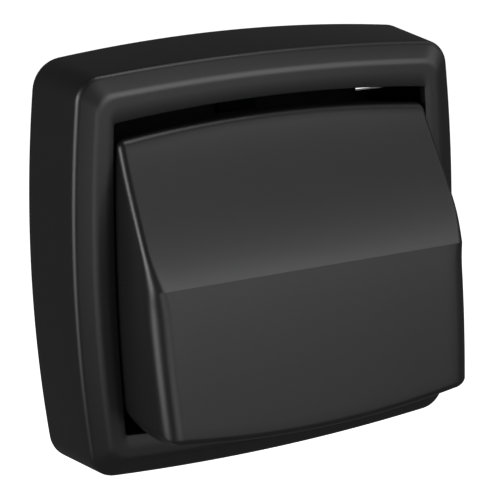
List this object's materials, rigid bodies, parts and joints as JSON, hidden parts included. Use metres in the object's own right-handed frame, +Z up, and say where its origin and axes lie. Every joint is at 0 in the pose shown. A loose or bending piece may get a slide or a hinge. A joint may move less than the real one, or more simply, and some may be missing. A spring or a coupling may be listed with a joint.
{
  "type": "rocker wall switch",
  "caption": "Flush wall switch: bulged rectangular cover frame, wide wedge-shaped tilting rocker, and a screw-terminal changeover mechanism on a plate behind.",
  "frame": {"origin": "centre of the cover frame's rear rim, in the plane of the wall", "axes": "+Z up as mounted, -Y out of the wall towards the user, +X to the user's right"},
  "size_m": [0.084, 0.0569, 0.08],
  "materials": {
    "frame_plastic": "black satin moulded thermoplastic",
    "rocker_plastic": "black satin moulded thermoplastic",
    "housing_thermoset": "dark moulded thermoset",
    "bearing_nylon": "black moulded polyamide",
    "plate_steel": "black passivated steel sheet",
    "clip_steel": "blued spring steel",
    "screw_zinc": "bright zinc plated steel",
    "contact_brass": "bare stamped brass",
    "contact_silver": "silver alloy rivet"
  },
  "bodies": {
    "base": {"cover_frame": "frame_plastic", "mounting_plate": "plate_steel", "frame_clip_top": "clip_steel", "frame_clip_bottom": "clip_steel", "mechanism_housing": "housing_thermoset", "mechanism_cover": "bearing_nylon", "box_screw_left": "screw_zinc", "box_screw_right": "screw_zinc", "housing_rivet_left": "screw_zinc", "housing_rivet_right": "screw_zinc", "cover_screw_left": "screw_zinc", "cover_screw_right": "screw_zinc", "upper_strip": "contact_brass", "lower_strip": "contact_brass", "common_strip": "contact_brass", "upper_fixed_tip": "contact_silver", "lower_fixed_tip": "contact_silver"},
    "rocker": {"rocker": "rocker_plastic", "rocker_carrier": "bearing_nylon", "pivot_pin": "clip_steel", "plunger_spring": "clip_steel"},
    "plunger": {"plunger": "bearing_nylon"},
    "contact_lever": {"contact_lever": "contact_brass", "upper_moving_tip": "contact_silver", "lower_moving_tip": "contact_silver"},
    "upper_screw": {"upper_terminal_screw": "screw_zinc"},
    "upper_clamp": {"upper_clamp_cage": "screw_zinc"},
    "lower_screw": {"lower_terminal_screw": "screw_zinc"},
    "lower_clamp": {"lower_clamp_cage": "screw_zinc"},
    "common_screw": {"common_terminal_screw": "screw_zinc"},
    "common_clamp": {"common_clamp_cage": "screw_zinc"}
  },
  "joints": [
    {"name": "rocker_tilt", "type": "hinge", "parent": "base", "child": "rocker", "pos_m": [0, -0.0242, -0.0004], "axis": [1, 0, 0], "range_deg": [0, 32]},
    {"name": "plunger_stroke", "type": "slide", "parent": "rocker", "child": "plunger", "axis": [0, -0.9613, 0.2756], "range_m": [0, 0.0008], "stiffness_N_per_m": 200, "springref_m": -0.001},
    {"name": "lever_tilt", "type": "hinge", "parent": "base", "child": "contact_lever", "pos_m": [0, -0.0059, -0.0004], "axis": [1, 0, 0], "range_deg": [-12, 0]},
    {"name": "upper_screw_turn", "type": "hinge", "parent": "base", "child": "upper_screw", "pos_m": [-0.014, 0.0074, 0.0076], "axis": [1, 0, 0], "range_deg": [0, 720]},
    {"name": "upper_clamp_lift", "type": "slide", "parent": "base", "child": "upper_clamp", "axis": [-1, 0, 0], "range_m": [0, 0.001]},
    {"name": "lower_screw_turn", "type": "hinge", "parent": "base", "child": "lower_screw", "pos_m": [0.014, 0.0074, -0.0084], "axis": [-1, 0, 0], "range_deg": [0, 720]},
    {"name": "lower_clamp_lift", "type": "slide", "parent": "base", "child": "lower_clamp", "axis": [1, 0, 0], "range_m": [0, 0.001]},
    {"name": "common_screw_turn", "type": "hinge", "parent": "base", "child": "common_screw", "pos_m": [0.014, 0.0074, 0.0076], "axis": [-1, 0, 0], "range_deg": [0, 720]},
    {"name": "common_clamp_lift", "type": "slide", "parent": "base", "child": "common_clamp", "axis": [1, 0, 0], "range_m": [0, 0.001]}
  ],
  "couplings": [
    {"joint": "lever_tilt", "follows": "rocker_tilt", "ratio": -0.375},
    {"joint": "upper_screw_turn", "follows": "upper_clamp_lift", "rad_per_m": 12566},
    {"joint": "lower_screw_turn", "follows": "lower_clamp_lift", "rad_per_m": 12566},
    {"joint": "common_screw_turn", "follows": "common_clamp_lift", "rad_per_m": 12566}
  ]
}
